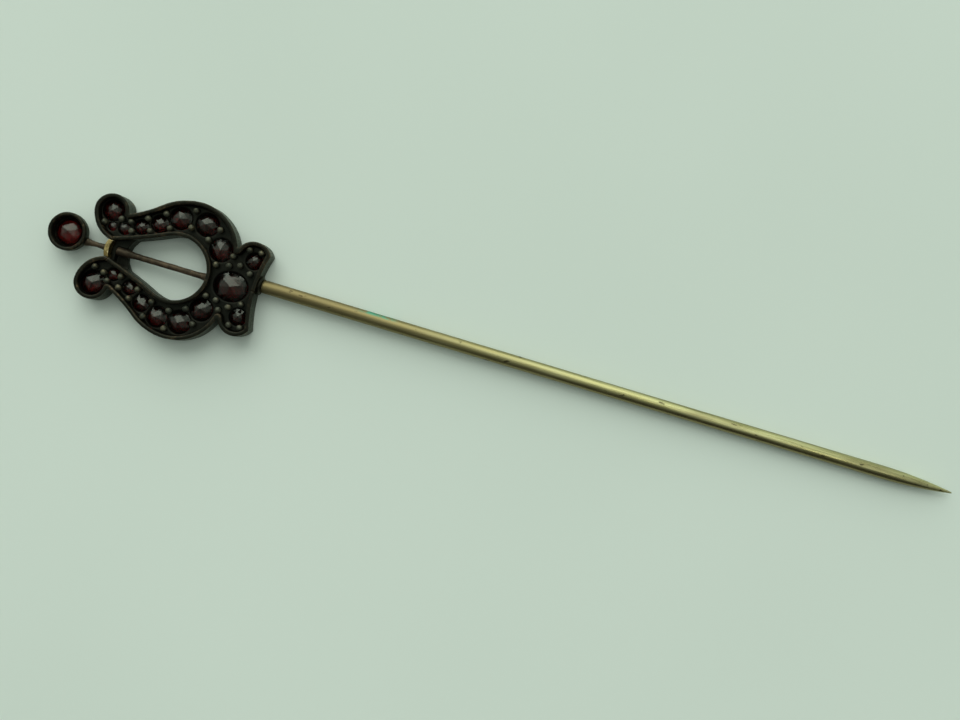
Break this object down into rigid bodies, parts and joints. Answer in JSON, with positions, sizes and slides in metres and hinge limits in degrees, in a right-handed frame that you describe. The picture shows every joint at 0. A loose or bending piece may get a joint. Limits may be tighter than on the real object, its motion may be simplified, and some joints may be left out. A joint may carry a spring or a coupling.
{
  "type": "hat pin",
  "caption": "Straight stick pin for a hat or lapel, with a flat lyre-shaped head of dark gilt brass set all over with rose-cut red garnets and a round finial cup.",
  "frame": {"origin": "on the stem's axis where the stem leaves the collar at the foot of the head", "axes": "+X along the stem to its tip, +Z out of the head's front face, +Y towards the arm on the viewer's right when the finial is up; the flat back faces -Z"},
  "size_m": [0.0699, 0.0104, 0.0018],
  "materials": {
    "dark_gilt": "aged and blackened gilt brass, worn brown on the edges",
    "gilt_strip": "gilt brass worn bright",
    "worn_wire": "dull brown drawn brass wire",
    "grain_metal": "dull grey-gold domed grains",
    "stem_brass": "drawn brass, lightly tarnished, with a trace of verdigris",
    "garnet": "polished deep red rose-cut stone"
  },
  "bodies": {
    "root": {"finial_cup": "dark_gilt", "finial_neck": "dark_gilt", "garnet_arm_left_1": "garnet", "garnet_arm_left_2": "garnet", "garnet_arm_left_3": "garnet", "garnet_arm_left_4": "garnet", "garnet_arm_left_5": "garnet", "garnet_arm_left_6": "garnet", "garnet_arm_right_1": "garnet", "garnet_arm_right_2": "garnet", "garnet_arm_right_3": "garnet", "garnet_arm_right_4": "garnet", "garnet_arm_right_5": "garnet", "garnet_arm_right_6": "garnet", "garnet_arm_right_7": "garnet", "garnet_base": "garnet", "garnet_finial": "garnet", "garnet_foot_left": "garnet", "garnet_foot_right": "garnet", "garnet_scroll_left": "garnet", "garnet_scroll_right": "garnet", "grains_arm_left": "grain_metal", "grains_arm_right": "grain_metal", "grains_base": "grain_metal", "grains_scroll_left": "grain_metal", "grains_scroll_right": "grain_metal", "inner_rim": "dark_gilt", "outer_rim_left": "dark_gilt", "outer_rim_right": "dark_gilt", "seat_plate": "dark_gilt", "stem": "stem_brass", "stem_collar": "dark_gilt", "string_bar": "worn_wire", "yoke_strip": "gilt_strip"}
  },
  "joints": []
}
